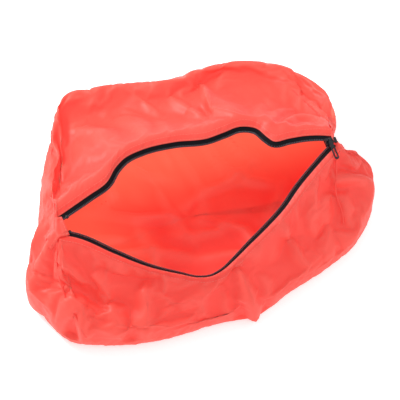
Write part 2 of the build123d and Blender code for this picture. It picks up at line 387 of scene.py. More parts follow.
def tape_material(colours):
    """Woven polyester tape: herringbone ribs across it, with slightly worn lighter threads."""
    tree = Tree("zip_tape_weave", 0.75, 0.12)
    wear = tree.noise(180.0, 3.0, 0.6)
    tree.feed("Base Color", tree.blend(wear, tuple(colours.tape), tuple(2.4 * np.array(colours.tape))))
    tree.feed("Roughness", (wear * 0.25 + 0.55).clamp())
    ribs = tree.node("ShaderNodeTexWave", {"wave_type": "BANDS", "bands_direction": "DIAGONAL"},
                     {"Vector": tree.place(), "Scale": 620.0, "Distortion": 1.5, "Detail": 1.0})
    tree.feed("Normal", tree.bump(ribs, 0.45, 0.0003))
    return tree.material


def coil_material(colours):
    """Nylon monofilament coil: smooth, a little scuffed."""
    tree = Tree("nylon_coil", 0.35, 0.35)
    scuff = tree.noise(420.0, 3.0, 0.6)
    tree.feed("Base Color", tree.blend(scuff, tuple(colours.coil), tuple(2.2 * np.array(colours.coil))))
    tree.feed("Roughness", (scuff * 0.3 + 0.24).clamp())
    tree.feed("Normal", tree.bump(scuff, 0.15, 0.0002))
    return tree.material


def metal_material(colours):
    """Dark enamel on cast zinc, rubbed brighter in patches."""
    tree = Tree("dark_enamel", 0.3, 0.5)
    rub = tree.noise(260.0, 4.0, 0.6)
    worn = ((rub - 0.56) * 6.0).clamp()
    bare_metal = (0.20, 0.19, 0.23)
    tree.feed("Base Color", tree.blend(worn * 0.5, tuple(colours.metal), bare_metal))
    tree.feed("Roughness", (rub * 0.3 + 0.18).clamp())
    tree.feed("Metallic", (worn * 0.6 + 0.25).clamp())
    tree.shader.inputs["Coat Weight"].default_value = 0.3
    tree.feed("Normal", tree.bump(tree.noise(900.0), 0.10, 0.0002))
    return tree.material


def thread_material(colours):
    """Twisted polyester thread, in places a shade paler than the cloth."""
    tree = Tree("sewing_thread", 0.6, 0.4)
    twist = tree.noise(900.0)
    pale_thread = (0.95, 0.36, 0.30)
    tree.feed("Base Color", tree.blend(twist, tuple(colours.cloth), pale_thread))
    tree.feed("Normal", tree.bump(twist, 0.3, 0.0002))
    return tree.material


def material(name):
    """The material of that name, made once."""
    makers = {
        "coated_nylon": cloth_material,
        "zip_tape_weave": tape_material,
        "nylon_coil": coil_material,
        "dark_enamel": metal_material,
        "sewing_thread": thread_material,
    }
    return bpy.data.materials.get(name) or makers[name](bpy.context.scene.sack_colours)


# ------------------------------------------------------------------ the sack's shape, in millimetres

# cloth edges of the mouth: x, y and height, the near one from right to left and the far one back again
NEAR_RIM = np.array([
    (179.5, -40, 115), (168, -46, 114), (146, -58, 109), (119, -74, 102), (93, -91, 91), (66, -105, 84),
    (40, -117, 78), (14, -130, 74), (0, -136, 72), (-16, -139, 71), (-32, -136, 72), (-50, -127, 75),
    (-83, -111, 84), (-118, -87, 96), (-151, -62, 108), (-171, -52, 113),
], float)
FAR_RIM = np.array([
    (-168, -28, 113), (-150, -20, 112), (-125, -9, 111), (-99, 3, 110), (-82, 21, 110), (-67, 31, 110),
    (-44, 36, 110), (-3, 35, 109), (37, 27, 109), (59, 29, 109), (81, 31, 109), (99, 23, 108),
    (108, 4, 108), (112, -3, 108), (131, -7, 110), (150, -11, 112), (168, -18, 114), (179.5, -24, 115),
], float)
# share of the way round, then x, y and height of the widest line, and the roll's inset below it
OUTLINE = np.array([
    (0.00, 187, -28, 86, 34), (0.02, 211, -38, 74, 22), (0.04, 228, -50, 42, 16),
    (0.065, 217, -85, 24, 16), (0.10, 186, -117, 15, 18), (0.15, 135, -141, 14, 18),
    (0.20, 78, -158, 13, 18), (0.235, 32, -174, 13, 17), (0.265, -10, -170, 13, 18),
    (0.33, -92, -168, 13, 18), (0.385, -157, -152, 13, 18), (0.425, -195, -130, 13, 16),
    (0.455, -212, -96, 16, 14), (0.48, -223, -60, 20, 14), (0.495, -205, -26, 34, 16),
    (0.515, -187, 8, 48, 24), (0.535, -169, 57, 60, 36), (0.56, -143, 113, 57, 34),
    (0.588, -119, 167, 54, 24), (0.605, -103, 189, 50, 20), (0.635, -69, 190, 50, 22),
    (0.67, -31, 187, 45, 22), (0.72, 21, 176, 38, 22), (0.755, 52, 176, 37, 22),
    (0.79, 92, 180, 38, 22), (0.84, 151, 171, 36, 22), (0.875, 188, 152, 32, 22),
    (0.905, 213, 114, 32, 20), (0.93, 220, 79, 36, 20), (0.955, 213, 44, 46, 22),
    (0.98, 197, 8, 64, 30),
], float)
# shares of the way round that the two edges take up
NEAR_SPAN = (0.06, 0.42)
FAR_SPAN = (0.58, 0.93)
# grid of the shell: columns round the mouth, and rows down the top, the roll and the floor
COLUMNS = 372
TOP_ROWS = 72
ROLL_ROWS = 9
FLOOR_ROWS = 32
CLOTH = 0.5  # thickness of the cloth
FLOOR_GAP = 0.1  # between the underside and the ground
# height, half width, lowest height it acts at, and its line in plan
FOLDS = [
    (6.2, 7, 60, [(27, 150), (38, 118), (46, 96), (52, 72)]),
    (-8.8, 6, 60, [(56, 112), (55, 91), (53, 74)]),
    (7.5, 7, 60, [(78, 158), (69, 114), (64, 93), (62, 78)]),
    (4.4, 8, 60, [(62, 86), (75, 61), (91, 39), (110, 22)]),
    (-3.8, 7, 60, [(72, 84), (88, 62), (104, 48), (118, 38)]),
    (5.0, 7, 60, [(127, 0), (143, 28), (160, 43), (174, 45), (187, 30), (186, 6), (181, -16)]),
    (-3.8, 7, 60, [(137, 0), (150, 20), (162, 30), (174, 28), (178, 8)]),
    (4.4, 8, 60, [(111, 5), (123, 31), (140, 55), (159, 72), (180, 76)]),
    (-3.1, 9, 60, [(72, 100), (98, 84), (124, 72), (150, 76)]),
    (3.8, 12, 60, [(-4, 156), (-38, 126), (-64, 103), (-94, 78), (-122, 40)]),
    (-3.8, 10, 60, [(-22, 140), (-44, 112), (-66, 88), (-90, 62), (-104, 40)]),
    (3.1, 10, 60, [(2, 118), (-30, 97), (-53, 76), (-74, 50)]),
    (3.1, 12, 60, [(-60, 160), (-70, 110), (-84, 75), (-108, 28)]),
    (-3.1, 12, 60, [(-110, 150), (-118, 100), (-132, 60), (-146, 20)]),
    (-5.1, 6, 40, [(172, -70), (188, -69), (203, -69), (219, -64)]),
    (6.0, 7, 40, [(168, -84), (186, -80), (204, -78), (220, -74)]),
    (-5.1, 6, 40, [(151, -92), (172, -91), (191, -88), (214, -84)]),
    (9.3, 6, 8, [(33, -184), (24, -172), (19, -160), (17, -140)]),
    (-6.8, 8, 8, [(18, -182), (10, -170), (5, -158), (6, -148)]),
    (-6.0, 8, 8, [(46, -178), (40, -164), (34, -152)]),
    (-8.5, 6, 20, [(-186, -156), (-188, -144), (-186, -136), (-196, -132), (-210, -130)]),
    (6.8, 7, 20, [(-176, -158), (-177, -144), (-178, -130), (-186, -122), (-204, -116)]),
    (5.1, 8, 20, [(-111, -176), (-106, -163), (-99, -148), (-96, -132)]),
    (-5.1, 9, 20, [(-126, -172), (-122, -156), (-116, -140)]),
    (6.8, 8, 30, [(-160, -92), (-143, -116), (-125, -131), (-103, -139), (-69, -148), (-34, -156),
                  (2, -152)]),
    (-5.1, 7, 30, [(-146, -98), (-128, -117), (-104, -128), (-70, -137)]),
    (-5.1, 8, 30, [(100, -92), (110, -112), (122, -131), (132, -142)]),
    (6.0, 9, 30, [(80, -104), (92, -122), (100, -138), (106, -150)]),
    (-5.1, 8, 30, [(172, -100), (165, -112), (155, -127), (146, -140)]),
    (5.1, 10, 30, [(186, -96), (180, -110), (170, -124), (162, -136)]),
    (-5.1, 8, 30, [(38, -146), (65, -144), (88, -136), (108, -122)]),
    (6.0, 9, 30, [(-145, -104), (-142, -134), (-139, -160)]),
    (3.8, 8, 70, [(-168, -14), (-150, 6), (-130, 24), (-112, 38)]),
    (-3.1, 7, 70, [(-176, -6), (-162, 22), (-146, 48), (-128, 66)]),
    (-5.1, 8, 50, [(-178, -64), (-164, -84), (-148, -98), (-130, -108)]),
    (5.1, 7, 50, [(-186, -60), (-178, -86), (-164, -108), (-150, -124)]),
]
# the same on the floor, where every fold stands up
FLOOR_FOLDS = [
    (9.0, 8, 0, [(-120, 46), (-70, 14), (-20, 2), (20, -16)]),
    (8.0, 7, 0, [(-20, 2), (30, 24), (80, 30), (120, 60)]),
    (6.0, 7, 0, [(-70, 14), (-60, -40), (-66, -90), (-50, -140)]),
    (8.0, 8, 0, [(20, -16), (60, -50), (70, -90), (110, -110)]),
    (6.5, 6, 0, [(-40, 90), (-24, 50), (-20, 0), (-4, -50)]),
    (9.0, 8, 0, [(60, 120), (62, 70), (80, 30), (130, 0)]),
    (7.0, 7, 0, [(-160, -20), (-110, -30), (-60, -40), (-10, -70)]),
    (6.0, 6, 0, [(-10, -70), (40, -80), (70, -90), (120, -60)]),
    (8.0, 8, 0, [(-90, 120), (-80, 80), (-90, 50), (-120, 40)]),
    (6.5, 7, 0, [(10, 140), (20, 90), (30, 24), (10, -30)]),
    (9.0, 9, 0, [(-60, 130), (-52, 96), (-34, 70), (-6, 58)]),
    (8.0, 6, 0, [(-16, 132), (0, 100), (4, 76)]),
    (9.0, 8, 0, [(96, 128), (92, 96), (100, 66), (120, 40)]),
    (6.0, 6, 0, [(120, 104), (140, 70), (150, 40)]),
    (6.0, 5, 0, [(-104, 96), (-96, 70), (-72, 52)]),
    (5.0, 5, 0, [(40, 60), (60, 44), (96, 34)]),
    (5.0, 5, 0, [(-40, -20), (-10, -34), (30, -40), (56, -24)]),
    (5.5, 6, 0, [(140, 10), (120, -20), (90, -44)]),
    (5.0, 6, 0, [(-140, 4), (-110, -4), (-84, -12)]),
    (5.0, 6, 0, [(-30, -90), (-14, -110), (-20, -136)]),
]


def length_knots(points):
    """Knots from 0 to 1 by distance along the points."""
    gone = distance_along(points)
    return gone / gone[-1]


def rim_line(at):
    """Cloth edge of the mouth for shares of the way round: near rim, left end, far rim, right end."""
    at = np.mod(at, 1.0)
    near = hermite(length_knots(NEAR_RIM), NEAR_RIM, np.clip((at - NEAR_SPAN[0]) / np.ptp(NEAR_SPAN), 0, 1))
    far = hermite(length_knots(FAR_RIM), FAR_RIM, np.clip((at - FAR_SPAN[0]) / np.ptp(FAR_SPAN), 0, 1))
    left = np.clip((at - NEAR_SPAN[1]) / (FAR_SPAN[0] - NEAR_SPAN[1]), 0, 1)[:, None]
    around = np.where(at < 0.5, at + 1, at)
    right = np.clip((around - FAR_SPAN[1]) / (1 + NEAR_SPAN[0] - FAR_SPAN[1]), 0, 1)[:, None]
    left_end = NEAR_RIM[-1] * (1 - left) + FAR_RIM[0] * left
    right_end = FAR_RIM[-1] * (1 - right) + NEAR_RIM[0] * right
    line = np.where(((at >= NEAR_SPAN[0]) & (at <= NEAR_SPAN[1]))[:, None], near, far)
    line = np.where(((at > NEAR_SPAN[1]) & (at < FAR_SPAN[0]))[:, None], left_end, line)
    return np.where(((at > FAR_SPAN[1]) | (at < NEAR_SPAN[0]))[:, None], right_end, line)


def fold_height(points, folds):
    """Sum of the folds over the points: each is its height times a bell curve of the distance in plan to
    its line, tapered to nothing at both ends of the line by a half sine to the power 0.6."""
    plan = points[..., :2]
    total = np.zeros(points.shape[:-1])
    for height, width, low, line in folds:
        line = np.asarray(line, float)
        gone = distance_along(line)
        nearest = np.full(total.shape, 1e9)
        place = np.zeros(total.shape)
        for first, second, start in zip(line[:-1], line[1:], gone):
            step = second - first
            size = np.linalg.norm(step)
            t = np.clip(((plan - first) @ step) / size**2, 0, 1)
            apart = np.linalg.norm(plan - first - t[..., None] * step, axis=-1)
            closer = apart < nearest
            nearest = np.where(closer, apart, nearest)
            place = np.where(closer, (start + t * size) / gone[-1], place)
        taper = np.sin(np.clip(place, 0.02, 0.98) * math.pi) ** 0.6
        total = total + height * taper * np.exp(-(nearest / width) ** 2) * (points[..., 2] > low)
    return total


def sack_surface():
    """Closed shell with a lens mouth. Along each column: a cubic Bezier from the rim over the crown to the
    widest line, a quarter ellipse rolling under to the floor, and a straight run to the floor's middle."""
    at = np.arange(COLUMNS) / COLUMNS
    rim = rim_line(at)
    wide = closed_hermite(OUTLINE[:, 0], OUTLINE[:, 1:], at)
    widest = wide[:, :3]
    inset = wide[:, 3:4]
    flat_out = (widest - rim) * (1, 1, 0)
    reach = np.linalg.norm(flat_out, axis=1, keepdims=True)
    out = flat_out / np.maximum(reach, 1)
    drop = rim[:, 2:3] - widest[:, 2:3]
    up = np.array([[0.0, 0.0, 1.0]])
    full_reach = 150  # beyond it the crown is at its highest
    lift = np.clip(reach / full_reach, 0, 1)
    first = rim + out * reach * 0.36 + up * (2 + 20 * lift)
    second = widest + up * drop * (0.55 + 0.32 * lift) + out * 4
    t = np.linspace(0, 1, TOP_ROWS)[:, None, None]
    top = (1 - t) ** 3 * rim + 3 * t * (1 - t) ** 2 * first + 3 * t**2 * (1 - t) * second + t**3 * widest
    turn = np.linspace(0, math.pi / 2, ROLL_ROWS + 1)[1:, None, None]
    foot = widest - out * inset
    roll = foot + out * inset * np.cos(turn)
    underside = CLOTH + FLOOR_GAP
    roll[:, :, 2] = widest[:, 2] * (1 - np.sin(turn[:, :, 0])) + underside
    middle = np.array([[0.0, -5.0, underside]])
    w = np.linspace(0, 0.96, FLOOR_ROWS + 1)[1:, None, None]
    under = roll[-1] * (1 - w) + middle * w
    shell = np.concatenate([top, roll, under])
    normal = surface_normals(shell, True)
    share = np.linspace(0, 1, TOP_ROWS)
    flat_edge = 0.12  # share of a column beside the mouth where folds fade out
    hold = np.zeros(len(shell))
    hold[:TOP_ROWS] = np.clip(share / flat_edge, 0, 1)
    hold[TOP_ROWS:TOP_ROWS + ROLL_ROWS] = np.linspace(1, 0, ROLL_ROWS)
    shell = shell + normal * (fold_height(shell, FOLDS) * hold[:, None])[..., None]
    floor = np.zeros(len(shell))
    floor[-FLOOR_ROWS:] = np.sin(np.linspace(0, 1, FLOOR_ROWS) * math.pi) ** 0.5
    shell[..., 2] += fold_height(shell, FLOOR_FOLDS) * floor[:, None]
    return shell


def settle(piece, pins, frames, excess):
    """Lets the cloth settle and gives back its vertices. pins says how firmly each vertex is held to its
    place."""
    group = piece.vertex_groups.new(name="held")
    levels = np.round(pins, 2)
    for level in np.unique(levels):
        group.add(np.nonzero(levels == level)[0].tolist(), float(level), "REPLACE")
    cloth = piece.modifiers.new("Cloth", "CLOTH")
    feel = {
        "quality": 6, "mass": 0.12, "air_damping": 1.0,
        "tension_stiffness": 20, "compression_stiffness": 20, "shear_stiffness": 8, "bending_stiffness": 0.7,
        "tension_damping": 5, "compression_damping": 5, "shear_damping": 5, "bending_damping": 0.5,
        "vertex_group_mass": "held", "pin_stiffness": 1.0, "shrink_min": -excess,
    }
    for key, value in feel.items():
        setattr(cloth.settings, key, value)
    light_gravity = 0.3
    cloth.settings.effector_weights.gravity = light_gravity
    cloth.collision_settings.use_collision = False
    cloth.collision_settings.use_self_collision = False
    cloth.point_cache.frame_start = 1
    cloth.point_cache.frame_end = frames
    scene = bpy.context.scene
    for number in range(1, frames + 1):
        scene.frame_set(number)
    graph = bpy.context.evaluated_depsgraph_get()
    moved = coordinates(piece.evaluated_get(graph).data)
    scene.frame_set(1)
    return moved


def eased(grid):
    """The grid with its sharpest kinks taken out: every point but those of the first three rows and the
    last row moves halfway to the mean of its four neighbours."""
    around = (np.roll(grid, 1, 1) + np.roll(grid, -1, 1))[1:-1] + grid[2:] + grid[:-2]
    share = np.full(len(grid) - 2, 0.5)
    share[:2] = 0
    grid = grid.copy()
    grid[1:-1] += (around / 4 - grid[1:-1]) * share[:, None, None]
    return grid


SHELL = {}


def shell_grid():
    """Outer face of the settled cloth as a grid of points in metres, worked out once."""
    if not SHELL:
        sizes = bpy.context.scene.sack_sizes
        base = sack_surface() * MM
        piece = make_mesh("settling_cloth", base, grid_faces(len(base), COLUMNS, True))
        floor_row = TOP_ROWS + ROLL_ROWS
        held = np.full(len(base), 0.08)
        held[:2] = 1.0
        held[2:7] = 0.5
        held[TOP_ROWS - 12:floor_row] = 0.32
        held[floor_row:] = 1.0
        pins = np.repeat(held, COLUMNS)
        base = settle(piece, pins, sizes.settle_frames, sizes.excess).reshape(base.shape)
        bpy.data.objects.remove(piece)
        base = eased(base)
        middle = base[-1].mean(axis=0)
        last_row = middle + (base[-1] - middle) * 0.02
        base = np.concatenate([base, last_row[None]])
        base[..., 2] = np.maximum(base[..., 2], (CLOTH + FLOOR_GAP) * MM)
        SHELL["grid"] = base
        SHELL["normal"] = surface_normals(base, True)
    return SHELL["grid"], SHELL["normal"]


def span_columns(span):
    """Columns between two shares of the way round."""
    return np.arange(round(span[0] * COLUMNS), round(span[1] * COLUMNS) + 1)


def side_columns(side):
    """Columns of the near or the far half of the cloth, from one end of the sack to the other."""
    first = 0 if side == "near" else COLUMNS // 2
    return np.arange(first, first + COLUMNS // 2 + 1) % COLUMNS


def follow(piece):
    """Bakes the piece's transform into its mesh."""
    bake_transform(piece)


def finish_piece(piece, material_name, side=None, hem=None):
    """Gives a piece its material in a slot, and the sack's body when it has no side; with hem, how much
    painted shade it takes as doubled cloth.
    """
    if hem is not None:
        point_attribute(piece.data, "hem", np.full(len(piece.data.vertices), hem))
    piece.data.materials.append(material(material_name))
    if side:
        follow(piece)
    else:
        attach(piece, "sack")


def two_sided(name, grid, normal, thickness, floor=False):
    """Sheet of the given thickness: the grid, the same grid set back along its normals, and a closed edge.
    With floor, both faces are closed by one flat face inside their last row."""
    rows, columns = grid.shape[:2]
    count = rows * columns
    faces = grid_faces(rows, columns, False)
    back = faces[:, ::-1] + count
    top = np.arange(columns)
    bottom = top + (rows - 1) * columns
    left = np.arange(rows) * columns
    right = left + columns - 1
    around = np.concatenate([top, right[1:], bottom[::-1][1:], left[::-1][1:-1]])
    after = np.roll(around, -1)
    edge = np.stack([after, around, around + count, after + count], axis=1)
    polygons = faces.tolist() + back.tolist()
    if floor:
        keep = ~(np.isin(around, bottom) & np.isin(after, bottom))
        edge = edge[keep]
        cap = bottom.tolist()
        polygons += [cap, [index + count for index in reversed(cap)]]
        ends = [cap[0], cap[-1]]
        polygons.append([ends[0], ends[1], ends[1] + count, ends[0] + count])
    polygons += edge.tolist()
    points = np.concatenate([grid.reshape(-1, 3), (grid - normal * thickness).reshape(-1, 3)])
    return make_mesh(name, points, polygons)


def on_cloth(columns, distances, lift):
    """Points at the given distances from the mouth's edge, measured down the cloth, with their normals.
    Each lies between the two rows that the distance falls between, raised by lift."""
    grid, normal = shell_grid()
    grid, normal = grid[:, columns], normal[:, columns]
    gone = down_columns(grid)
    wanted = np.asarray(distances, float)[:, None] * np.ones((1, len(columns)))
    below = np.clip((gone[None] <= wanted[:, None]).sum(axis=1) - 1, 0, len(grid) - 2)
    pick = np.arange(len(columns))[None]
    low, high = gone[below, pick], gone[below + 1, pick]
    t = ((wanted - low) / np.maximum(high - low, 1e-9))[..., None]
    normals = unit(normal[below, pick] * (1 - t) + normal[below + 1, pick] * t)
    return grid[below, pick] * (1 - t) + grid[below + 1, pick] * t + normals * lift, normals


def snapped(points, lift, rise_only=False):
    """Points moved onto the cloth: the mean of the cloth's points, each weighted by one over the sixth power
    of its distance plus 1 mm, raised by lift along the normal. With rise_only, the points keep their place
    in plan before they are raised."""
    grid, normal = shell_grid()
    top = grid[:TOP_ROWS + ROLL_ROWS].reshape(-1, 3)
    top_normal = normal[:TOP_ROWS + ROLL_ROWS].reshape(-1, 3)
    axes = 2 if rise_only else 3
    if rise_only:
        faces_up = top_normal[:, 2] > 0.2
        top, top_normal = top[faces_up], top_normal[faces_up]
    apart = np.linalg.norm(points[:, None, :axes] - top[None, :, :axes], axis=2) + MM
    weight = 1 / apart ** 6
    weight /= weight.sum(axis=1, keepdims=True)
    place = weight @ top
    facing = unit(weight @ top_normal)
    if rise_only:
        place = np.concatenate([points[:, :2], place[:, 2:]], axis=1)
    return place + facing * lift, facing


# tilt below level, in degrees, of the tape at shares of the way round
TILTS = {
    "near": [
        (0.06, 2), (0.09, 10), (0.15, 18), (0.20, 26), (0.235, 42), (0.28, 42), (0.31, 32), (0.36, 16),
        (0.42, 4),
    ],
    "far": [(0.58, 4), (0.61, 18), (0.65, 32), (0.70, 36), (0.80, 36), (0.86, 30), (0.90, 20), (0.93, 3)],
}
RIM_SAMPLES = 460
COIL_OFFSET = 0.3  # of the coil's width, from the tape's edge to the coil's middle


def tape_frame(side):
    """Evenly spaced frames along a cloth edge: place, along, inward and up. Inward is level and square to
    the edge, turned down by the tape's tilt, and up is square to both."""
    low, high = NEAR_SPAN if side == "near" else FAR_SPAN
    shares = np.linspace(low, high, RIM_SAMPLES)
    edge = rim_line(np.clip(shares, low + 1e-6, high - 1e-6)) * MM
    place = evenly(edge, RIM_SAMPLES)
    along = directions(place)
    level = unit(np.cross(along, (0.0, 0.0, 1.0)))
    knots = np.array(TILTS[side], float)
    tilt = np.radians(np.interp(shares, knots[:, 0], knots[:, 1]))[:, None]
    inward = level * np.cos(tilt) - np.array([[0.0, 0.0, 1.0]]) * np.sin(tilt)
    return place, along, inward, unit(np.cross(inward, along))


# ------------------------------------------------------------------ one operator for each piece

class SackPiece:
    """What the operators share."""

    bl_options = {"REGISTER", "UNDO"}

    @property
    def sizes(self):
        return bpy.context.scene.sack_sizes


def relief(grid, normal):
    """How far each point stands above the mean of the points some way round it, as a share of 1.2 mm:
    1 on ridges and -1 in creases. The cloth's colour uses it for painted shade in the creases and a painted
    highlight on the ridges."""
    padded = np.pad(grid, ((4, 4), (0, 0), (0, 0)), "edge")
    rows = [padded[shift:shift + len(grid)] for shift in (0, 2, 4, 6, 8)]
    wide = np.mean([np.roll(row, turn, axis=1) for row in rows for turn in (-5, -3, 0, 3, 5)], axis=0)
    full_relief = 0.0012
    return np.clip(((grid - wide) * normal).sum(axis=-1) / full_relief, -1, 1)


class SACK_OT_cloth(SackPiece, bpy.types.Operator):
    """Settled cloth of the sack in a near and a far half, which meet along both ends and the floor"""

    bl_idname = "sack.cloth"
    bl_label = "Cloth"

    def execute(self, context):
        grid, normal = shell_grid()
        gone = down_columns(grid)
        fade, hem_rise = 0.0016, 0.0004
        hem = np.clip((self.sizes.hem_width + 0.75 * fade - gone) / fade, 0, 1)
        hem[TOP_ROWS:] = 0
        raised = grid + normal * (hem * hem_rise)[..., None]
        # painted shade: how much darker the doubled cloth is at shares of the way round
        knots = [(0, 0.25), (0.06, 0.25), (0.2, 0.5), (0.3, 0.9), (0.42, 1), (0.5, 0.7), (0.58, 0.9),
                 (0.64, 0.6), (0.75, 0.3), (1, 0.25)]
        painted_hem_shade = np.interp(np.arange(COLUMNS) / COLUMNS, *np.array(knots).T)
        replaced = {
            "near": ("near_body_panel", "bottom_panel", "right_end_panel"),
            "far": ("far_body_panel", "left_end_panel"),
        }
        for side in ("near", "far"):
            columns = side_columns(side)
            facing = normal[:, columns]
            piece = two_sided(side + "_cloth", raised[:, columns], facing, CLOTH * MM, floor=True)
            both = np.concatenate([(hem * painted_hem_shade)[:, columns].ravel()] * 2)
            point_attribute(piece.data, "hem", both)
            # painted light: glow for daylight through the cloth, on the inner face only, strongest at the
            # far side and the left
            farwards = np.clip((grid[:, columns, 1] + 0.01) / 0.11, 0, 1)
            leftwards = np.clip((-grid[:, columns, 0] - 0.04) / 0.08, 0, 1)
            lit = np.maximum(farwards**2 * (3 - 2 * farwards), 0.6 * leftwards)
            glow = (0.08 + 1.17 * lit).ravel()
            point_attribute(piece.data, "inside", np.concatenate([np.zeros(glow.size), glow]))
            # painted shade in the creases and painted highlight on the ridges: the fold relief, weaker on
            # the outer face and reversed on the inner face
            painted_fold_shade = relief(grid, normal)[:, columns].ravel()
            point_attribute(piece.data, "relief", np.concatenate([painted_fold_shade * 0.4, -painted_fold_shade]))
            across = distance_along(grid[TOP_ROWS // 2, columns])
            weave = np.stack([np.broadcast_to(across, (len(grid), len(across))), gone[:, columns]], axis=2)
            weave = np.concatenate([weave.reshape(-1, 2)] * 2)
            corner = np.zeros(len(piece.data.loops), np.int32)
            piece.data.loops.foreach_get("vertex_index", corner)
            layer = piece.data.uv_layers.new(name="UVMap")
            layer.data.foreach_set("uv", weave[corner].astype(np.float32).ravel())
            custom = np.concatenate([facing.reshape(-1, 3), -facing.reshape(-1, 3)])
            piece.data.normals_split_custom_set_from_vertices(custom.tolist())
            finish_piece(piece, "coated_nylon", side)
            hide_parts(*replaced[side])
        return {"FINISHED"}


class SACK_OT_hems(SackPiece, bpy.types.Operator):
    """Seam allowance turned under along the mouth, inside the cloth"""

    bl_idname = "sack.hems"
    bl_label = "Hems"

    def execute(self, context):
        for side, span in (("near", NEAR_SPAN), ("far", FAR_SPAN)):
            columns = span_columns(span)
            distances = np.linspace(0.0004, self.sizes.hem_width, 6)
            gap = 0.25
            strip, facing = on_cloth(columns, distances, -(CLOTH + gap) * MM)
            piece = two_sided(side + "_hem", strip, facing, CLOTH * MM)
            # painted shade for the doubled hem
            finish_piece(piece, "coated_nylon", side, hem=0.6)
            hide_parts(side + "_zip_facing")
        return {"FINISHED"}


class SACK_OT_tapes(SackPiece, bpy.types.Operator):
    """Woven tapes of the zip, sewn under the edge of the cloth on both sides of the mouth"""

    bl_idname = "sack.tapes"
    bl_label = "Zip tapes"

    def execute(self, context):
        tuck = 0.0008  # tape hidden under the cloth edge
        width = self.sizes.tape_width + tuck
        profile = rounded_profile(width, self.sizes.tape_thickness, 16)
        for side in ("near", "far"):
            place, _, inward, up = tape_frame(side)
            middle = place + inward * (width / 2 - tuck) - up * (CLOTH * MM)
            piece = swept(side + "_tape", middle, -inward, up, profile)
            finish_piece(piece, "zip_tape_weave", side)
            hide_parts(side + "_zip_tape", side + "_zip_tape_ends")
        return {"FINISHED"}


class SACK_OT_coils(SackPiece, bpy.types.Operator):
    """Coil halves on the inner edges of the tapes: a core with one rounded tooth at each pitch"""

    bl_idname = "sack.coils"
    bl_label = "Zip coils"

    def execute(self, context):
        width, pitch = self.sizes.coil_width, self.sizes.tooth_pitch
        core_profile = rounded_profile(width * 0.60, 0.0008, 10)
        tooth_radii = (pitch * 0.30, 0.0010)
        for side in ("near", "far"):
            place, along, inward, up = tape_frame(side)
            middle = place + inward * (self.sizes.tape_width + width * COIL_OFFSET)
            core = swept(side + "_coil_core", middle, -inward, up, core_profile)
            finish_piece(core, "zip_tape_weave", side)
            count = int(distance_along(middle)[-1] / pitch)
            at = (np.arange(count) + 0.5) / count * (RIM_SAMPLES - 1)
            index = at.astype(int)
            t = (at - index)[:, None]
            frames = [row[index] * (1 - t) + row[index + 1] * t for row in (middle, along, inward, up)]
            centre, run, across, rise = frames[0], unit(frames[1]), unit(frames[2]), unit(frames[3])
            teeth = beads(side + "_coil", centre, across, run, rise, width / 2, tooth_radii)
            finish_piece(teeth, "nylon_coil", side)
            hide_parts(side + "_zip_coil", side + "_zip_coil_ends")
        return {"FINISHED"}


class SACK_OT_stitching(SackPiece, bpy.types.Operator):
    """Two rows of topstitching along each side of the mouth"""

    bl_idname = "sack.stitching"
    bl_label = "Topstitching"

    def execute(self, context):
        step = self.sizes.stitch_length + self.sizes.stitch_gap
        radius = self.sizes.thread_radius
        half = self.sizes.stitch_length / 2
        rows = (("edge", 0.0016), ("hem", self.sizes.hem_width - 0.001))
        for side, span in (("near", NEAR_SPAN), ("far", FAR_SPAN)):
            columns = span_columns(span)
            for row, distance in rows:
                line, facing = on_cloth(columns, [distance], 0.0004)
                line, facing = line[0], facing[0]
                count = int(distance_along(line)[-1] / step)
                centre = evenly(line, count)
                run = directions(centre)
                at = np.linspace(0, 1, count)
                rise = [np.interp(at, length_knots(line), facing[:, axis]) for axis in range(3)]
                rise = unit(np.stack(rise, axis=1))
                across = unit(np.cross(rise, run))
                name = "_".join([side, row, "stitches"])
                piece = beads(name, centre, run, across, rise, half, (radius, radius))
                finish_piece(piece, "sewing_thread", side)
        return {"FINISHED"}


class SACK_OT_tabs(SackPiece, bpy.types.Operator):
    """Cloth tabs over both ends of the zip, with the stitches that hold them"""

    bl_idname = "sack.tabs"
    bl_label = "Zip tabs"

    def execute(self, context):
        # from and to along the zip, from and to across it, and how far the tab stands off the cloth
        tabs = {
            "left": ((-0.1865, -0.1635), (-0.028, -0.058), 0.0021),
            "right": ((0.1835, 0.1890), (-0.026, -0.039), 0.0016),
        }
        stitch_step, radius = 0.0034, self.sizes.thread_radius
        for name, (reach, breadth, lift) in tabs.items():
            u, v = np.meshgrid(np.linspace(0, 1, 22), np.linspace(0, 1, 26), indexing="ij")
            narrow = 1 - 0.10 * u
            x = reach[0] + (reach[1] - reach[0]) * u + 0.002 * v
            y = breadth[0] + (breadth[1] - breadth[0]) * (0.5 + (v - 0.5) * narrow)
            plan = np.stack([x, y, np.zeros_like(x)], axis=2)
            points, _ = snapped(plan.reshape(-1, 3), lift, rise_only=True)
            grid = points.reshape(plan.shape)
            normal = surface_normals(grid, False)
            piece = two_sided(name + "_tab", grid, normal, 0.0009)
            # slight painted shade for the doubled tab
            finish_piece(piece, "coated_nylon", hem=0.12)
            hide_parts(name + "_zip_tab")
            inner_end = grid[-3, 2:-2] if name == "left" else grid[2, 2:-2]
            rows = []
            for line in (grid[2:-2, 2], grid[2:-2, -3], inner_end):
                rows.append(evenly(line, max(int(distance_along(line)[-1] / stitch_step), 3)))
            centre = np.concatenate(rows) + (0, 0, 0.0002)
            run = np.concatenate([directions(row) for row in rows])
            rise = upright(run)
            across = unit(np.cross(rise, run))
            half = self.sizes.stitch_length / 2
            stitches = beads(name + "_tab_stitches", centre, run, across, rise, half, (radius, radius))
            finish_piece(stitches, "sewing_thread")
        return {"FINISHED"}


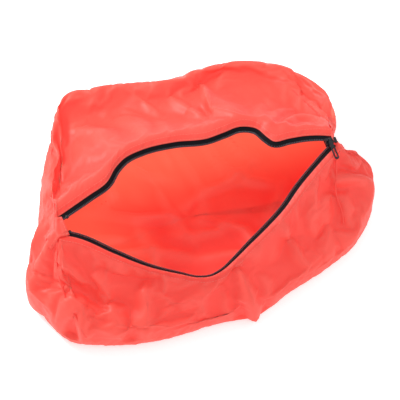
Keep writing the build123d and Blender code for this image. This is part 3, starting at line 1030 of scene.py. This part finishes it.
class SACK_OT_seams(SackPiece, bpy.types.Operator):
    """Seams of the end panels, and the bound seams along the floor"""

    bl_idname = "sack.seams"
    bl_label = "Seams"

    def execute(self, context):
        end_lines = {
            "left_near": ("near", [(-177, -34, 114), (-183, -63, 113), (-192, -73, 104), (-199, -83, 93),
                                   (-200, -102, 84), (-196, -121, 78), (-188, -137, 65), (-181, -149, 47),
                                   (-172, -156, 28)]),
            "left_far": ("far", [(-177, -34, 114), (-174, -8, 114), (-171, 24, 109), (-164, 60, 100),
                                 (-152, 100, 88), (-134, 136, 72)]),
            "right_near": ("near", [(184, -36, 114), (180, -56, 112), (174, -76, 108), (170, -94, 98),
                                    (168, -108, 78), (164, -120, 56)]),
            "right_far": ("far", [(186, -22, 114), (190, 6, 112), (192, 40, 106), (188, 76, 96),
                                  (178, 108, 80)]),
        }
        cord, binding = rounded_profile(0.0021, 0.0016, 10), rounded_profile(0.005, 0.0012, 12)
        for name, (side, line) in end_lines.items():
            line = np.array(line, float)
            path = hermite(length_knots(line), line, np.linspace(0, 1, 90)) * MM
            place, facing = snapped(path, 0.0002)
            # smoothed by the mean of nine neighbours, which drops four at each end
            smoothed = [np.convolve(place[:, axis], np.ones(9) / 9, "valid") for axis in range(3)]
            facing = facing[4:-4]
            place = np.stack(smoothed, axis=1) + facing * 0.0004
            along = directions(place)
            across = unit(np.cross(facing, along))
            piece = swept(name + "_seam", place, across, facing, cord)
            # painted shade for the doubled seam
            finish_piece(piece, "coated_nylon", side, hem=0.4)
            if side == "near":
                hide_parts(name.replace("_near", "_end_binding"))
        grid, normal = shell_grid()
        row = TOP_ROWS + ROLL_ROWS + 3
        for side, span in (("near", (0.10, 0.40)), ("far", (0.60, 0.90))):
            columns = span_columns(span)
            place = evenly(grid[row, columns] - normal[row, columns] * 0.0015, 200)
            along = directions(place)
            up = upright(along)
            piece = swept(side + "_floor_seam", place, unit(np.cross(up, along)), up, binding)
            # painted shade for the doubled binding
            finish_piece(piece, "coated_nylon", side, hem=0.9)
            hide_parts(side + "_floor_binding")
        return {"FINISHED"}


class SACK_OT_fittings(SackPiece, bpy.types.Operator):
    """Slider, puller, stops and the short closed end of the chain"""

    bl_idname = "sack.fittings"
    bl_label = "Slider and stops"

    def execute(self, context):
        for name in ("slider_body", "slider_bridge", "puller", "bottom_stop"):
            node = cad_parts[name]
            node.data.materials.clear()
            node.data.materials.append(material("dark_enamel"))
        low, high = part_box("closed_chain_tail")
        pitch = self.sizes.tooth_pitch
        hidden = 0.006  # of the chain, past the end of the cloth
        count = int((high[0] - low[0] - hidden) / pitch)
        x = low[0] + (np.arange(count) + 0.5) * pitch
        y, z = (low[1] + high[1]) / 2, (low[2] + high[2]) / 2
        half = self.sizes.coil_width / 2
        rows = [np.stack([x + shift, np.full(count, y + side * half), np.full(count, z)], axis=1)
                for side, shift in ((-1, 0.0), (1, pitch / 2))]
        centre = np.concatenate(rows)
        run = np.zeros_like(centre) + (0.0, 1.0, 0.0)
        across = np.zeros_like(centre) + (1.0, 0.0, 0.0)
        chain = beads("closed_chain", centre, run, across, upright(centre), half, (pitch * 0.34, 0.0009))
        finish_piece(chain, "nylon_coil")
        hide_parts("closed_chain_tail")
        half_stop, stop_radii, from_end = 0.0021, (0.0015, 0.0014), 11
        for side in ("near", "far"):
            place, along, inward, up = tape_frame(side)
            index = RIM_SAMPLES - 1 - from_end if side == "near" else from_end
            reach = self.sizes.tape_width + self.sizes.coil_width * COIL_OFFSET
            centre, along, inward, up = [
                row[index][None] for row in (place + inward * reach, along, inward, up)
            ]
            name = side + "_top_stop"
            stop = beads(name, centre, inward, along, up, half_stop, stop_radii, ring_count=12)
            finish_piece(stop, "dark_enamel", side)
            if side == "near":
                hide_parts("top_stops")
        return {"FINISHED"}


class SACK_OT_stage(SackPiece, bpy.types.Operator):
    """Pale floor, soft studio light and the camera"""

    bl_idname = "sack.stage"
    bl_label = "Stage"

    def execute(self, context):
        scene = bpy.context.scene
        corners = 3.0 * np.array([(-1, -1, 0), (1, -1, 0), (1, 1, 0), (-1, 1, 0)])
        floor = make_mesh("floor", corners, [[0, 1, 2, 3]])
        tree = Tree("studio_paper", 0.9, 0.1)
        tone = tree.noise(2.0)
        tree.feed("Base Color", tree.blend(tone, (0.93, 0.93, 0.93), (0.97, 0.97, 0.97)))
        glow = tree.shader.inputs
        glow["Emission Color"].default_value = (1.0, 1.0, 1.0, 1.0)
        glow["Emission Strength"].default_value = 0.45
        floor.data.materials.append(tree.material)
        world = bpy.data.worlds.new("studio")
        world.use_nodes = True
        background = world.node_tree.nodes["Background"].inputs
        background["Color"].default_value = (1.0, 1.0, 1.0, 1.0)
        background["Strength"].default_value = 0.72
        scene.world = world
        # place, power in watts and width of each area light
        lamps = {
            "key": ((-0.8, 1.0, 1.1), 21.0, 0.45),
            "fill": ((0.9, -0.9, 1.1), 4.0, 1.2),
        }
        for name, (place, energy, size) in lamps.items():
            light = bpy.data.lights.new(name, "AREA")
            light.energy = energy
            light.size = size
            lamp = bpy.data.objects.new(name, light)
            lamp.location = place
            lamp.rotation_euler = (-Vector(place)).to_track_quat("-Z", "Y").to_euler()
            scene.collection.objects.link(lamp)
        camera = bpy.data.cameras.new("camera")
        camera.lens = 110
        camera.sensor_width = 36
        eye = bpy.data.objects.new("camera", camera)
        azimuth, elevation = math.radians(-19.3), math.radians(55)
        level = math.cos(elevation)
        back = Vector((math.sin(azimuth) * level, -math.cos(azimuth) * level, math.sin(elevation)))
        aim = Vector((0.0235, 0.0152, 0))
        distance = 1.528 + 0.06 * math.sin(elevation)
        eye.location = aim + back * distance
        eye.rotation_euler = (-back).to_track_quat("-Z", "Y").to_euler()
        scene.collection.objects.link(eye)
        scene.camera = eye
        scene.view_settings.view_transform = "Standard"
        return {"FINISHED"}


OPERATORS = (
    SACK_OT_cloth, SACK_OT_hems, SACK_OT_tapes, SACK_OT_coils, SACK_OT_stitching, SACK_OT_tabs,
    SACK_OT_seams, SACK_OT_fittings, SACK_OT_stage,
)


class SACK_PT_panel(bpy.types.Panel):
    """Lists the pieces in the 3D view's sidebar"""

    bl_idname = "SACK_PT_panel"
    bl_label = "Zipped stuff sack"
    bl_space_type = "VIEW_3D"
    bl_region_type = "UI"
    bl_category = "Sack"

    def draw(self, context):
        for operator in OPERATORS:
            self.layout.operator(operator.bl_idname)
        for group in (context.scene.sack_sizes, context.scene.sack_colours):
            for name in group.__annotations__:
                self.layout.prop(group, name)


CLASSES = (SackSizes, SackColours, *OPERATORS, SACK_PT_panel)


def register():
    for item in CLASSES:
        bpy.utils.register_class(item)
    bpy.types.Scene.sack_sizes = PointerProperty(type=SackSizes)
    bpy.types.Scene.sack_colours = PointerProperty(type=SackColours)


def unregister():
    del bpy.types.Scene.sack_colours
    del bpy.types.Scene.sack_sizes
    for item in reversed(CLASSES):
        bpy.utils.unregister_class(item)


def main():
    register()
    for operator in OPERATORS:
        group, name = operator.bl_idname.split(".")
        if getattr(getattr(bpy.ops, group), name)() != {"FINISHED"}:
            raise RuntimeError(operator.bl_idname + " did not finish")


if __name__ == "__main__":
    main()
